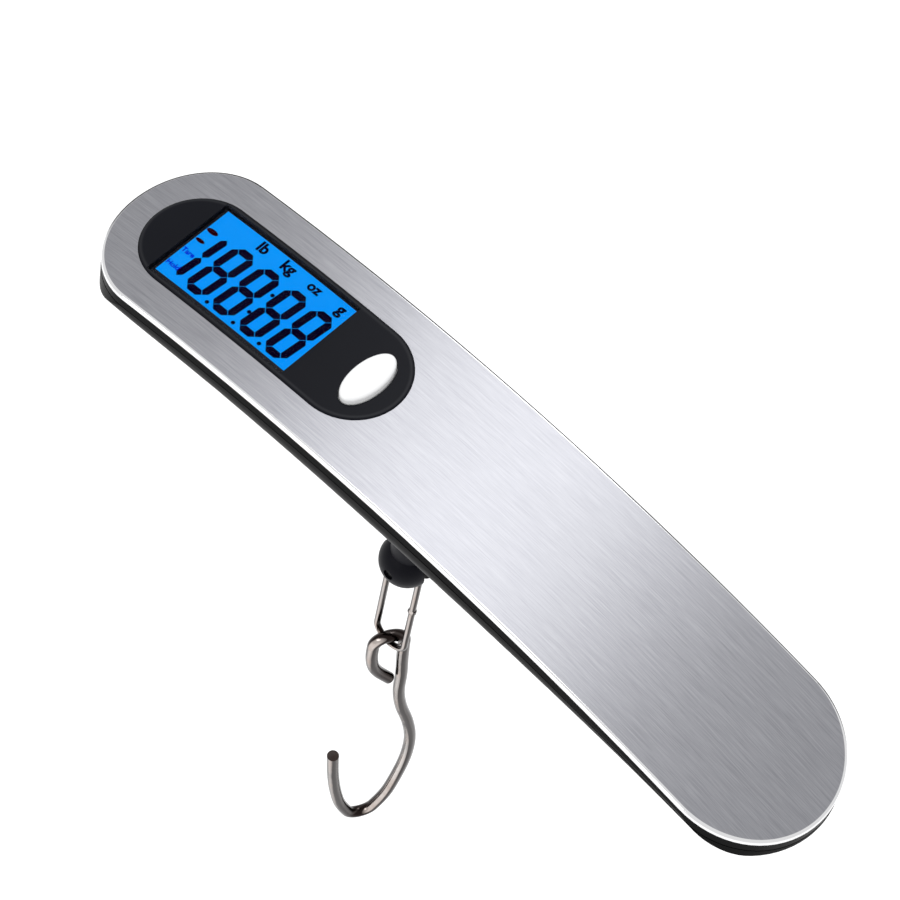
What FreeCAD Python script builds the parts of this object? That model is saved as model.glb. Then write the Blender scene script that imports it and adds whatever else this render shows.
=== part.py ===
import FreeCAD, Part
import math
import os

Vector = FreeCAD.Vector

# Hanging luggage scale, in millimetres. +X runs to the plain end, the display is towards -X,
# +Z is up, and the origin is the crown of the arched face plate's top surface.

# case
body_length = 140.0
body_width = 29.4
arch_sag = 7.6            # how far the plate's ends lie below its crown
nose_length = 12.6        # rounded display end, along X
tail_length = 14.7        # rounded plain end, along X
plate_thickness = 0.8
plate_bevel = 0.45
shell_wall = 1.6
floor_under_plate = 1.2
parting_depth = 2.8       # where the two housings meet, below the plate's top surface

# underside: place along X, depth of the case, height of the upright side, width of the round below it
underside = (
    (-70.0, 5.0, 1.6, 4.0),
    (-62.0, 9.0, 2.0, 6.0),
    (-45.0, 11.5, 2.0, 7.6),
    (-8.0, 13.0, 2.0, 8.6),
    (25.0, 11.0, 2.0, 7.6),
    (43.0, 8.4, 1.6, 6.4),
    (56.0, 6.4, 1.4, 5.8),
    (70.0, 3.6, 1.2, 4.0),
)

# display window and what lies under it, in a frame tangent to the plate at window_x
window_x = -40.4
window_length = 50.4
window_width = 18.2
window_proud = 0.15
window_thickness = 1.75
window_round = 0.3
lcd_x = -4.5
lcd_view_length = 26.8
lcd_side_margin = 1.4       # from the display's picture to the window's long edges
lcd_border = 0.5
lcd_depth = 1.15
lens_border = 0.7         # how far the clear lens reaches past the display's picture
lens_thickness = 0.7
lcd_thickness = 1.1
backlight_thickness = 1.6
backlight_gap = 0.1
board_depth = 5.0
board_length = 45.0
board_width = 19.0
board_thickness = 1.0
board_shift = 2.4

# button, in the same frame
button_x = 19.2
button_length = 10.8
button_width = 5.3
button_round = 0.7
button_proud = 0.75
button_gap = 0.2
button_flange = 0.6
button_flange_gap = 0.1
button_flange_grow = 0.65
button_travel = 0.5
switch_size = 5.0
switch_plunger_radius = 1.3

# hanging gear
hang_x = -7.7
neck_radius = 4.5
neck_depth = 25.0
neck_shoulder_radius = 9.4
stud_radius = 2.0
running_gap = 0.08
end_gap = 0.3
cell_length = 31.0
cell_width = 8.0
cell_thickness = 3.0
cell_top_depth = 7.2
cell_overhang = 6.0
bushing_wall = 1.3
bushing_length = 9.0
nut_across = 7.0
nut_height = 2.4
washer_radius = 3.8
washer_thickness = 0.6
ball_radius = 4.5
ball_depth = 37.4
ball_neck_radius = 3.0
slot_width = 1.7
pin_radius = 0.9
pin_above_ball = 0.4
link_wire_radius = 0.55
link_half_width = 3.0
link_drop = 30.0          # between the centres of the wire at the link's two ends
hook_wire_radius = 1.03
hook_turn = 60.0          # the hook's plane, turned about Z from the link's
hook_gap = 0.5
hook_line = (               # corners around the wire's middle line: across, and up from the eye's top
    (1.35, -15.7), (-1.7, -11.2), (-2.6, -6.0), (-2.5, 0.0), (2.5, 0.0), (2.9, -8.5),
    (3.5, -15.0), (3.55, -21.0), (4.6, -27.5), (6.6, -34.0), (7.9, -41.0), (7.95, -48.5),
    (7.0, -56.0), (5.7, -63.0), (3.2, -68.4), (-0.2, -68.6), (-2.6, -63.2), (-4.2, -55.5),
    (-5.1, -48.5), (-5.6, -42.4),
)

# battery
battery_x = 33.0
coin_radius = 10.0
coin_thickness = 3.2
coin_gap = 0.55
pad_depth = 10.0
pad_wall = 1.1
door_thickness = 1.3
door_gap = 0.12
door_ring_inset = 0.8       # how far inside the coin's edge the door's ring stands
door_ring_wall = 1.0
door_slot_length = 14.0
door_slot_width = 1.8
door_slot_depth = 0.7
door_ring_height = 0.7
seal_thickness = 0.5
seal_gap = 0.15
coin_base_gap = 0.1
roof_depth = 3.2
roof_thickness = 0.8
contact_thickness = 0.25

# screws that close the case: place along X, place along Y
case_screws = (
    (-63.6, 0.0),
    (2.0, 9.5),
    (2.0, -9.5),
    (51.0, 6.0),
    (51.0, -6.0),
)
screw_radius = 0.9
screw_head_radius = 1.7
screw_head_height = 1.1
screw_boss_radius = 2.0
screw_seat = 1.0
screw_gap = 0.03
screw_tip_depth = 2.4
boss_meet_depth = 4.2

# worked out from the sizes above
half_length = body_length / 2
half_width = body_width / 2
lcd_view_width = window_width - 2 * lcd_side_margin
arch_radius = (half_length ** 2 + arch_sag ** 2) / (2 * arch_sag)
big = body_length
board_top = -board_depth
button_flange_reach = button_x + button_width / 2 + button_flange_grow
button_flange_depth = (window_thickness - window_proud + button_flange_gap
                       + button_flange_reach ** 2 / (2 * arch_radius))
board_under = -(board_depth + board_thickness)
flange_under = -(button_flange_depth + button_flange)
plunger_top = flange_under - button_travel - 0.1
pin_z = -ball_depth + pin_above_ball
link_top = pin_z + pin_radius + link_wire_radius + 0.02
link_bottom = link_top - link_drop
eye_top = link_bottom + link_wire_radius + hook_wire_radius + hook_gap
pad_radius = coin_radius + coin_gap + pad_wall
well_radius = coin_radius + coin_gap
door_radius = well_radius - door_gap
door_ring_radius = coin_radius - door_ring_inset


def box(x_range, y_range, z_range):
    size = (x_range[1] - x_range[0], y_range[1] - y_range[0], z_range[1] - z_range[0])
    return Part.makeBox(size[0], size[1], size[2], Vector(x_range[0], y_range[0], z_range[0]))


def rod(radius, z_low, z_high, x=0.0, y=0.0):
    return Part.makeCylinder(radius, z_high - z_low, Vector(x, y, z_low))


def arch_angle(x):
    return math.asin(x / arch_radius)


def plate_z(x):
    """Height of the plate's top surface at x."""
    return math.sqrt(arch_radius ** 2 - x ** 2) - arch_radius


def seated(shape, x):
    """The shape, drawn about its own origin, moved onto the plate at x and tilted with the arch."""
    placed = shape.copy()
    placed.rotate(Vector(0, 0, 0), Vector(0, 1, 0), math.degrees(arch_angle(x)))
    placed.translate(Vector(x, 0, plate_z(x)))
    return placed


def arch_band(depth_top, depth_bottom):
    """The space between two depths below the plate's surface, following the arch."""
    centre = Vector(0, -big / 2, -arch_radius)
    outer = Part.makeCylinder(arch_radius - depth_top, big, centre, Vector(0, 1, 0))
    inner = Part.makeCylinder(arch_radius - depth_bottom, big, centre, Vector(0, 1, 0))
    upper_half = box((-big, big), (-big, big), (-arch_radius / 2, big))
    return outer.cut(inner).common(upper_half)


def half_ellipse(centre_x, reach, half, side):
    """Half an ellipse in plan, bulging to side (-1 or 1) along X, from -Y to +Y."""
    centre = Vector(centre_x, 0, 0)
    tip = Vector(centre_x + side * reach, 0, 0)
    flank = Vector(centre_x, half, 0)
    if abs(reach - half) < 1e-6:
        return Part.Arc(Vector(centre_x, -half, 0), tip, flank).toShape()
    if reach > half:
        curve = Part.Ellipse(tip, flank, centre)
    else:
        curve = Part.Ellipse(flank, tip, centre)
    start = curve.parameter(Vector(centre_x, -half, 0))
    middle = curve.parameter(tip)
    end = curve.parameter(flank)
    full = 2 * math.pi
    to_middle = (middle - start) % full
    to_end = (end - start) % full
    if to_middle < to_end:
        return Part.Edge(curve, start, start + to_end)
    return Part.Edge(curve, end, end + (full - to_end))


def plan_prism(inset):
    """The case's outline in plan, drawn in by inset, as a tall block."""
    half = half_width - inset
    nose = nose_length - inset
    tail = tail_length - inset
    nose_x = -half_length + nose_length
    tail_x = half_length - tail_length
    edges = [
        Part.makeLine(Vector(nose_x, -half, 0), Vector(tail_x, -half, 0)),
        half_ellipse(tail_x, tail, half, 1),
        Part.makeLine(Vector(tail_x, half, 0), Vector(nose_x, half, 0)),
        half_ellipse(nose_x, nose, half, -1),
    ]
    face = Part.Face(Part.Wire(Part.__sortEdges__(edges)))
    face.translate(Vector(0, 0, -big / 2))
    return face.extrude(Vector(0, 0, big))


def underside_section(x, depth, upright, round_width, inset):
    """One cross-section of the case: upright sides, rounded corners and a flat bottom."""
    half = half_width - inset + 0.02
    top = plate_z(x) + 3.0
    shoulder = plate_z(x) - upright
    bottom = plate_z(x) - depth + inset
    inner = half_width - round_width
    middle_y = inner + (half - inner) * math.sqrt(0.5)
    middle_z = shoulder - (shoulder - bottom) * math.sqrt(0.5)
    points = [
        Vector(x, half, shoulder),
        Vector(x, middle_y, middle_z),
        Vector(x, inner, bottom),
    ]
    corner = Part.BSplineCurve()
    corner.interpolate(points, InitialTangent=Vector(0, 0, -1), FinalTangent=Vector(0, -1, 0))
    right = corner.toShape()
    left = right.mirror(Vector(0, 0, 0), Vector(0, 1, 0))
    edges = [
        Part.makeLine(Vector(x, -half, top), Vector(x, half, top)),
        Part.makeLine(Vector(x, half, top), Vector(x, half, shoulder)),
        right,
        Part.makeLine(Vector(x, inner, bottom), Vector(x, -inner, bottom)),
        left,
        Part.makeLine(Vector(x, -half, shoulder), Vector(x, -half, top)),
    ]
    return Part.Wire(edges)


def case_block(inset):
    """The whole case as one block, drawn in by inset on every outer side."""
    scale = half_length / 70.0
    wires = [underside_section(x * scale, depth, upright, width, inset)
             for x, depth, upright, width in underside]
    loft = Part.makeLoft(wires, True, False)
    return loft.common(plan_prism(inset))


def stadium(length, width, z_low, z_high, x=0.0):
    """A block with two round ends, long along X."""
    radius = width / 2
    reach = length / 2 - radius
    middle = box((x - reach, x + reach), (-radius, radius), (z_low, z_high))
    ends = [rod(radius, z_low, z_high, x + side * reach) for side in (-1, 1)]
    return middle.fuse(ends).removeSplitter()


def cross_oval(length, width, z_low, z_high, x=0.0):
    """An elliptical block, long along Y."""
    curve = Part.Ellipse(Vector(x, length / 2, z_low), Vector(x + width / 2, 0, z_low),
                         Vector(x, 0, z_low))
    return Part.Face(Part.Wire(curve.toShape())).extrude(Vector(0, 0, z_high - z_low))


def window_block(grow):
    """The oval of the display window through the whole case, grown by grow on every side."""
    shape = stadium(window_length + 2 * grow, window_width + 2 * grow, -big / 2, big / 2)
    return seated(shape, window_x)


def screw_floor(x, y):
    """Height of the case's underside above a case screw."""
    probe = Part.makeLine(Vector(x, y, -big / 2), Vector(x, y, plate_z(x) - parting_depth))
    return probe.common(case_block(0.0)).BoundBox.ZMin


def face_plate():
    plate = arch_band(0.0, plate_thickness).common(plan_prism(0.0))
    rim = [edge for edge in plate.Edges if abs(edge_depth(edge)) < 1e-3]
    plate = plate.makeFillet(plate_bevel, rim)
    return plate.cut(window_block(0.05))


def upper_housing():
    block = case_block(0.05).common(arch_band(plate_thickness, parting_depth))
    hollow = case_block(shell_wall)
    hollow = hollow.common(arch_band(plate_thickness + floor_under_plate, big / 4))
    shell = block.cut(hollow)
    recess = window_block(0.05).common(arch_band(0.0, window_thickness - window_proud))
    holes = [seated(lcd_box(0.3, 0.0, -big / 4), window_x),
             seated(button_flange(0.3, -big / 4, 0.0), window_x)]
    bosses = [rod(screw_boss_radius, plate_z(x) - boss_meet_depth,
                  plate_z(x) - plate_thickness - floor_under_plate / 2, x, y) for x, y in case_screws]
    shell = shell.fuse(bosses)
    pilots = [rod(screw_radius + screw_gap, -big / 4, plate_z(x) - screw_tip_depth + 0.15, x, y)
              for x, y in case_screws]
    return shell.cut([recess] + holes + pilots)


def neck_outside():
    """The round neck under the case that the hanging gear comes out of."""
    top = Vector(neck_shoulder_radius, 0, -shell_wall - 6.0)
    knee = Vector(neck_radius + 1.6, 0, -(neck_depth + 11.4) / 2)
    foot = Vector(neck_radius, 0, -neck_depth + 0.6)
    flank = Part.BSplineCurve()
    flank.interpolate([top, knee, foot])
    edges = [
        Part.makeLine(Vector(0, 0, top.z), top),
        flank.toShape(),
        Part.makeLine(foot, Vector(neck_radius - 0.6, 0, -neck_depth)),
        Part.makeLine(Vector(neck_radius - 0.6, 0, -neck_depth), Vector(0, 0, -neck_depth)),
        Part.makeLine(Vector(0, 0, -neck_depth), Vector(0, 0, top.z)),
    ]
    neck = Part.Face(Part.Wire(edges)).revolve(Vector(0, 0, 0), Vector(0, 0, 1), 360)
    neck.translate(Vector(hang_x, 0, 0))
    return neck


def lower_housing():
    block = case_block(0.0).common(arch_band(parting_depth, big / 4))
    inside = case_block(shell_wall)
    pad = seated(rod(pad_radius, -pad_depth, -roof_depth), battery_x)
    pad = pad.common(arch_band(parting_depth, big / 4)).common(plan_prism(0.0))
    well = seated(rod(well_radius, -big / 2, -roof_depth - roof_thickness), battery_x)
    shell = block.cut(inside).fuse([pad, neck_outside().cut(inside)]).cut(well)
    seats = []
    cuts = []
    for x, y in case_screws:
        floor = screw_floor(x, y)
        seats.append(rod(screw_boss_radius, floor + 0.4, plate_z(x) - boss_meet_depth, x, y))
        cuts.append(rod(screw_head_radius + 0.15, -big / 4, floor + screw_head_height + 0.1, x, y))
        cuts.append(rod(screw_radius + screw_gap, -big / 4, 0.0, x, y))
    posts = [rod(screw_boss_radius, -shell_wall - 11.0, -cell_top_depth - cell_thickness, x)
             for x in cell_screw_places()]
    posts = [post.cut(inside.common(post).cut(post)).common(case_block(0.2)) for post in posts]
    shell = shell.fuse(seats + posts)
    bore = rod(stud_radius + bushing_wall, -big / 2, -shell_wall - 8.0, hang_x)
    pilots = [rod(screw_radius + screw_gap, -cell_top_depth - cell_thickness - 0.9, 0.0, x)
              for x in cell_screw_places()]
    return shell.cut(cuts + [bore] + pilots)


def lens_box(grow):
    """The opening of the display window over the glass, grown by grow on its four sides."""
    reach_x = lcd_view_length / 2 + lens_border + grow
    reach_y = lcd_view_width / 2 + lens_border + grow
    opening = box((lcd_x - reach_x, lcd_x + reach_x), (-reach_y, reach_y), (-big / 4, big / 4))
    return seated(opening, window_x)


def display_window():
    block = window_block(0.0).common(arch_band(-window_proud, window_thickness - window_proud))
    top = [edge for edge in block.Edges if edge.BoundBox.DiagonalLength > window_width / 2
           and abs(edge_depth(edge) + window_proud) < 1e-3]
    block = block.makeFillet(window_round, top)
    hole = cross_oval(button_length + 2 * button_gap, button_width + 2 * button_gap,
                      -big / 4, big / 4, button_x)
    return block.cut([lens_box(0.0), seated(hole, window_x)])


def edge_depth(edge):
    """Mean depth of an edge's two ends below the plate's surface."""
    ends = [edge.valueAt(edge.FirstParameter), edge.valueAt(edge.LastParameter)]
    return arch_radius - sum(math.hypot(end.x, end.z + arch_radius) for end in ends) / 2


def display_lens():
    return arch_band(-window_proud, lens_thickness - window_proud).common(lens_box(-0.02))


def lcd_box(grow, z_high, z_low):
    """The space of the display glass, grown by grow on its four sides."""
    reach_x = lcd_view_length / 2 + lcd_border + grow
    reach_y = lcd_view_width / 2 + lcd_border + grow
    return box((lcd_x - reach_x, lcd_x + reach_x), (-reach_y, reach_y), (z_low, z_high))


def lcd_glass():
    return seated(lcd_box(0.0, -lcd_depth, -lcd_depth - lcd_thickness), window_x)


def backlight_panel():
    top = -lcd_depth - lcd_thickness - backlight_gap
    reach = lcd_view_length / 2 + 0.4
    panel = box((lcd_x - reach, lcd_x + reach), (-lcd_view_width / 2, lcd_view_width / 2 - 1.0),
                (top - backlight_thickness, top))
    leads = [box((lcd_x + x - 0.4, lcd_x + x + 0.4), (-lcd_view_width / 2, 0.6 - lcd_view_width / 2),
                 (board_top, top - backlight_thickness)) for x in (-8.0, 8.0)]
    return seated(panel.fuse(leads), window_x)


def zebra_strip():
    strip = box((lcd_x - lcd_view_length / 2, lcd_x + lcd_view_length / 2),
                (lcd_view_width / 2 - 0.7, lcd_view_width / 2 + 0.4),
                (board_top, -lcd_depth - lcd_thickness))
    return seated(strip, window_x)


def circuit_board():
    board = box((board_shift - board_length / 2, board_shift + board_length / 2),
                (-board_width / 2, board_width / 2), (board_under, board_top))
    notches = [rod(1.6, board_under, board_top, board_shift + board_length / 2, side * board_width / 2)
               for side in (-1, 1)]
    return seated(board.cut(notches), window_x)


def chip_blob():
    blob = Part.makeSphere(8.0, Vector(4.0, 0, board_under + 6.6))
    return seated(blob.common(box((-big, big), (-big, big), (-big, board_under))), window_x)


def board_parts():
    spots = ((-9.0, 4.0, 3.2, 1.6, 1.1), (-9.0, -4.0, 2.0, 1.2, 0.7), (-4.0, 6.5, 2.0, 1.2, 0.7),
             (12.0, 5.0, 1.6, 0.8, 0.5), (12.0, -5.0, 1.6, 0.8, 0.5), (17.0, 0.0, 4.8, 3.8, 1.4),
             (-14.0, 0.0, 6.0, 2.4, 1.6))
    pieces = [box((x - long / 2, x + long / 2), (y - wide / 2, y + wide / 2),
                  (board_under - tall, board_under)) for x, y, long, wide, tall in spots]
    return seated(Part.makeCompound(pieces), window_x)


def button_switch():
    reach = switch_size / 2
    case = box((button_x - reach, button_x + reach), (-reach, reach), (board_top, plunger_top - 0.5))
    plunger = rod(switch_plunger_radius, plunger_top - 0.5, plunger_top, button_x)
    return seated(case.fuse(plunger), window_x)


def button_flange(grow, z_low, z_high):
    """The rim that keeps the button from falling out, grown by grow on every side."""
    wider = 2 * (button_flange_grow + grow)
    return cross_oval(button_length + wider, button_width + wider, z_low, z_high, button_x)


def button_cap():
    cap = cross_oval(button_length, button_width, -button_flange_depth, button_proud, button_x)
    top_edges = [edge for edge in cap.Edges
                 if edge.BoundBox.ZMin > button_proud - 1e-4]
    cap = cap.makeFillet(button_round, top_edges)
    flange = button_flange(0.0, flange_under, -button_flange_depth)
    stem = rod(switch_plunger_radius - 0.1, plunger_top + button_travel + 0.05, flange_under, button_x)
    return seated(cap.fuse([flange, stem]), window_x)


def cell_screw_places():
    far = hang_x - cell_overhang + cell_length
    return (far - 3.0, far - 9.0)


def load_cell():
    start = hang_x - cell_overhang
    bar = box((start, start + cell_length), (-cell_width / 2, cell_width / 2),
              (-cell_top_depth - cell_thickness, -cell_top_depth))
    middle = start + cell_length * 0.48
    eyes = [Part.makeCylinder(1.0, cell_width, Vector(middle + side * 2.6, -cell_width / 2,
                                                      -cell_top_depth - cell_thickness / 2),
                              Vector(0, 1, 0)) for side in (-1, 1)]
    slot = box((middle - 2.6, middle + 2.6), (-cell_width / 2, cell_width / 2),
               (-cell_top_depth - cell_thickness / 2 - 0.4, -cell_top_depth - cell_thickness / 2 + 0.4))
    holes = [rod(screw_radius + screw_gap, -big / 4, 0.0, x) for x in cell_screw_places()]
    stud_hole = rod(stud_radius + running_gap, -big / 4, 0.0, hang_x)
    return bar.cut(eyes + [slot, stud_hole] + holes)


def strain_gauges():
    middle = hang_x - cell_overhang + cell_length * 0.48
    pads = [box((middle - 2.4, middle + 2.4), (-2.6, 2.6), span) for span in (
        (-cell_top_depth, 0.15 - cell_top_depth),
        (-cell_top_depth - cell_thickness - 0.15, -cell_top_depth - cell_thickness))]
    return Part.makeCompound(pads)


def load_cell_screws():
    screws = []
    for x in cell_screw_places():
        shaft = rod(screw_radius, -cell_top_depth - cell_thickness - 0.8, -cell_top_depth, x)
        head = rod(screw_head_radius, -cell_top_depth, screw_head_height - cell_top_depth, x)
        cross = [box((x - 0.25, x + 0.25), (-1.0, 1.0),
                     (screw_head_height - cell_top_depth - 0.5, 0.0)),
                 box((x - 1.0, x + 1.0), (-0.25, 0.25),
                     (screw_head_height - cell_top_depth - 0.5, 0.0))]
        screws.append(shaft.fuse(head).cut(cross))
    return Part.makeCompound(screws)


def housing_screws():
    screws = []
    for x, y in case_screws:
        seat = screw_floor(x, y) + screw_head_height + 0.1
        tip = plate_z(x) - screw_tip_depth
        shaft = rod(screw_radius, seat, tip, x, y)
        head = rod(screw_head_radius, seat - screw_head_height, seat, x, y)
        cross = [box((x - 0.25, x + 0.25), (y - 1.0, y + 1.0), (-big / 4, seat - 0.55)),
                 box((x - 1.0, x + 1.0), (y - 0.25, y + 0.25), (-big / 4, seat - 0.55))]
        screws.append(shaft.fuse(head).cut(cross))
    return Part.makeCompound(screws)


def neck_bushing():
    tube = rod(stud_radius + bushing_wall, -neck_depth, bushing_length - neck_depth, hang_x)
    return tube.cut(rod(stud_radius + running_gap, -big, 0.0, hang_x))


def hanger_washer():
    disc = rod(washer_radius, -cell_top_depth, washer_thickness - cell_top_depth, hang_x)
    return disc.cut(rod(stud_radius + running_gap, -big, 0.0, hang_x))


def hanger_nut():
    low = washer_thickness - cell_top_depth + 0.05
    corners = [Vector(hang_x + nut_across / math.sqrt(3) * math.cos(math.radians(60 * i)),
                      nut_across / math.sqrt(3) * math.sin(math.radians(60 * i)), low)
               for i in range(6)]
    hexagon = Part.Face(Part.makePolygon(corners + corners[:1]))
    return hexagon.extrude(Vector(0, 0, nut_height)).cut(rod(stud_radius, -big, 0.0, hang_x))


def hanger_stud():
    top = washer_thickness - cell_top_depth + 0.05 + nut_height + 0.4
    return rod(stud_radius, stud_foot(), top, hang_x)


def stud_foot():
    return -ball_depth + ball_radius - 0.6


def hanger_ball():
    ball = Part.makeSphere(ball_radius, Vector(hang_x, 0, -ball_depth))
    neck_top = -neck_depth - end_gap
    neck = rod(ball_neck_radius, -ball_depth, neck_top, hang_x)
    collar = rod(ball_neck_radius + 0.7, neck_top - 1.6, neck_top, hang_x)
    body = ball.fuse([neck, collar])
    slot = box((hang_x - big, hang_x + big), (-slot_width / 2, slot_width / 2),
               (-big, pin_z + pin_radius + 3.6 * link_wire_radius))
    cross_hole = Part.makeCylinder(pin_radius, 4 * ball_radius,
                                   Vector(hang_x, -2 * ball_radius, pin_z), Vector(0, 1, 0))
    stud_hole = rod(stud_radius, stud_foot(), 0.0, hang_x)
    return body.cut([slot, cross_hole, stud_hole])


def hanger_pin():
    length = 2 * math.sqrt(ball_radius ** 2 - pin_above_ball ** 2) - 0.8
    pin = Part.makeCylinder(pin_radius, length, Vector(hang_x, -length / 2, pin_z), Vector(0, 1, 0))
    return pin.makeChamfer(0.15, [edge for edge in pin.Edges if edge.Length < 6.5
                                  and edge.Length > 5.0])


def link():
    half_round = []
    for z, start in ((link_top - link_half_width, 0.0), (link_bottom + link_half_width, 180.0)):
        section = Part.Face(Part.Wire(Part.makeCircle(link_wire_radius, Vector(link_half_width, 0, 0),
                                                      Vector(0, 0, 1))))
        turn = section.revolve(Vector(0, 0, 0), Vector(0, -1, 0), 180)
        turn.rotate(Vector(0, 0, 0), Vector(0, -1, 0), start)
        turn.translate(Vector(hang_x, 0, z))
        half_round.append(turn)
    legs = [rod(link_wire_radius, link_bottom + link_half_width, link_top - link_half_width,
                hang_x + side * link_half_width) for side in (-1, 1)]
    return half_round[0].fuse([half_round[1]] + legs).removeSplitter()


def rounded_path(corners):
    """Straight runs joined by tangent arcs, from (point, radius) corners; the ends have no radius."""
    edges = []
    last = corners[0][0]
    for i in range(1, len(corners) - 1):
        point, radius = corners[i]
        back = (corners[i - 1][0] - point).normalize()
        ahead = (corners[i + 1][0] - point).normalize()
        half_angle = back.getAngle(ahead) / 2
        setback = radius / math.tan(half_angle)
        first = point + back * setback
        second = point + ahead * setback
        bisector = (back + ahead).normalize()
        middle = point + bisector * (radius / math.sin(half_angle) - radius)
        if (first - last).Length > 1e-3:
            edges.append(Part.makeLine(last, first))
        edges.append(Part.Arc(first, middle, second).toShape())
        last = second
    edges.append(Part.makeLine(last, corners[-1][0]))
    return Part.Wire(edges)


def smooth_path(points):
    """A rounded path whose arcs are as wide as half of each run between the points allows."""
    corners = [(points[0], 0.0)]
    for before, point, after in zip(points, points[1:], points[2:]):
        back = before - point
        ahead = after - point
        setback = 0.98 * min(back.Length, ahead.Length) / 2
        corners.append((point, setback * math.tan(back.getAngle(ahead) / 2)))
    corners.append((points[-1], 0.0))
    return rounded_path(corners)


def hook_point(across, up):
    turn = math.radians(hook_turn)
    return Vector(across * math.cos(turn), across * math.sin(turn), up)


def hook():
    """The bent wire: a closed eye, a shank with a slight bend, a round bowl and a short tip."""
    path = smooth_path([hook_point(across, up) for across, up in hook_line])
    start = path.Edges[0]
    profile = Part.Wire(Part.makeCircle(hook_wire_radius, start.valueAt(start.FirstParameter),
                                        start.tangentAt(start.FirstParameter)))
    wire = path.makePipeShell([profile], True, True)
    wire.translate(Vector(hang_x, 0, eye_top))
    return wire


def battery_door():
    disc = rod(door_radius, -pad_depth, door_thickness - pad_depth)
    ring = rod(door_ring_radius, door_thickness - pad_depth,
               door_thickness + door_ring_height - pad_depth)
    ring = ring.cut(rod(door_ring_radius - door_ring_wall, -big, big))
    slot = stadium(door_slot_length, door_slot_width, -pad_depth - 1.0, door_slot_depth - pad_depth)
    return seated(disc.fuse(ring).cut(slot), battery_x)


def door_seal():
    seal = rod(door_radius - seal_gap, door_thickness - pad_depth,
               door_thickness + seal_thickness - pad_depth)
    return seated(seal.cut(rod(door_ring_radius, -big, big)), battery_x)


def coin_cell():
    low = door_thickness + door_ring_height + coin_base_gap - pad_depth
    can = rod(coin_radius, low, low + coin_thickness)
    can = can.makeFillet(0.35, [edge for edge in can.Edges if edge.Length > 6 * coin_radius])
    return seated(can, battery_x)


def battery_contact_neg():
    roof = -roof_depth - roof_thickness
    cell_top = door_thickness + door_ring_height + coin_base_gap - pad_depth + coin_thickness
    strip = box((-6.0, 6.0), (-2.5, 2.5), (roof - contact_thickness, roof))
    foot = box((-1.5, 1.5), (-2.0, 2.0), (cell_top, roof))
    return seated(strip.fuse(foot), battery_x)


def battery_contact_pos():
    low = door_thickness + door_ring_height + 0.4 - pad_depth
    ring = rod(well_radius, low, low + coin_thickness - 0.6)
    ring = ring.cut(rod(coin_radius + 0.12, -big, big))
    wedge = box((-big, -6.0), (-4.0, 4.0), (-big, big))
    return seated(ring.common(wedge), battery_x)


def lead(points, radius):
    corners = [(Vector(*point), 1.0) for point in points]
    path = rounded_path(corners)
    start = path.Edges[0]
    profile = Part.Wire(Part.makeCircle(radius, start.valueAt(start.FirstParameter),
                                        start.tangentAt(start.FirstParameter)))
    return path.makePipeShell([profile], True, True)


def gauge_leads():
    middle = hang_x - cell_overhang + cell_length * 0.48
    top = 0.5 - cell_top_depth
    aside = nut_across / 2 + 1.6
    wires = [lead(((middle, side * 2.0, top), (middle - 2.5, side * aside, top + 0.2),
                   (hang_x - 7.0, side * aside, top + 0.8), (hang_x - 11.5, side * aside, top + 0.3)),
                  0.3) for side in (-1, 1)]
    return Part.makeCompound(wires)


parts = {
    "face_plate": face_plate,
    "upper_housing": upper_housing,
    "lower_housing": lower_housing,
    "display_window": display_window,
    "display_lens": display_lens,
    "lcd_glass": lcd_glass,
    "backlight_panel": backlight_panel,
    "zebra_strip": zebra_strip,
    "circuit_board": circuit_board,
    "chip_blob": chip_blob,
    "board_parts": board_parts,
    "button_switch": button_switch,
    "button_cap": button_cap,
    "load_cell": load_cell,
    "strain_gauges": strain_gauges,
    "gauge_leads": gauge_leads,
    "load_cell_screws": load_cell_screws,
    "housing_screws": housing_screws,
    "neck_bushing": neck_bushing,
    "hanger_washer": hanger_washer,
    "hanger_nut": hanger_nut,
    "hanger_stud": hanger_stud,
    "hanger_ball": hanger_ball,
    "hanger_pin": hanger_pin,
    "link": link,
    "hook": hook,
    "battery_door": battery_door,
    "door_seal": door_seal,
    "coin_cell": coin_cell,
    "battery_contact_neg": battery_contact_neg,
    "battery_contact_pos": battery_contact_pos,
}

os.makedirs("parts", exist_ok=True)
for name, make in parts.items():
    shape = make()
    print(name, len(shape.Solids), round(shape.Volume, 2), shape.isValid())
    shape.exportStep(f"parts/{name}.step")
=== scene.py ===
# %% [markdown]
# # A hanging luggage scale
# A slim arched case carries a brushed steel plate with a lit display and one button. Below it a
# black ball on a swivel holds a wire link, and a bent wire hook hangs from the link. The engineering
# model comes in as a fixed frame: its parts stay where they are, get real finishes here, and a few
# pieces that need softer shapes or fine print are made new.

# %% Load the frame
import bpy
import bmesh
import math
from mathutils import Matrix, Vector


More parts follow.
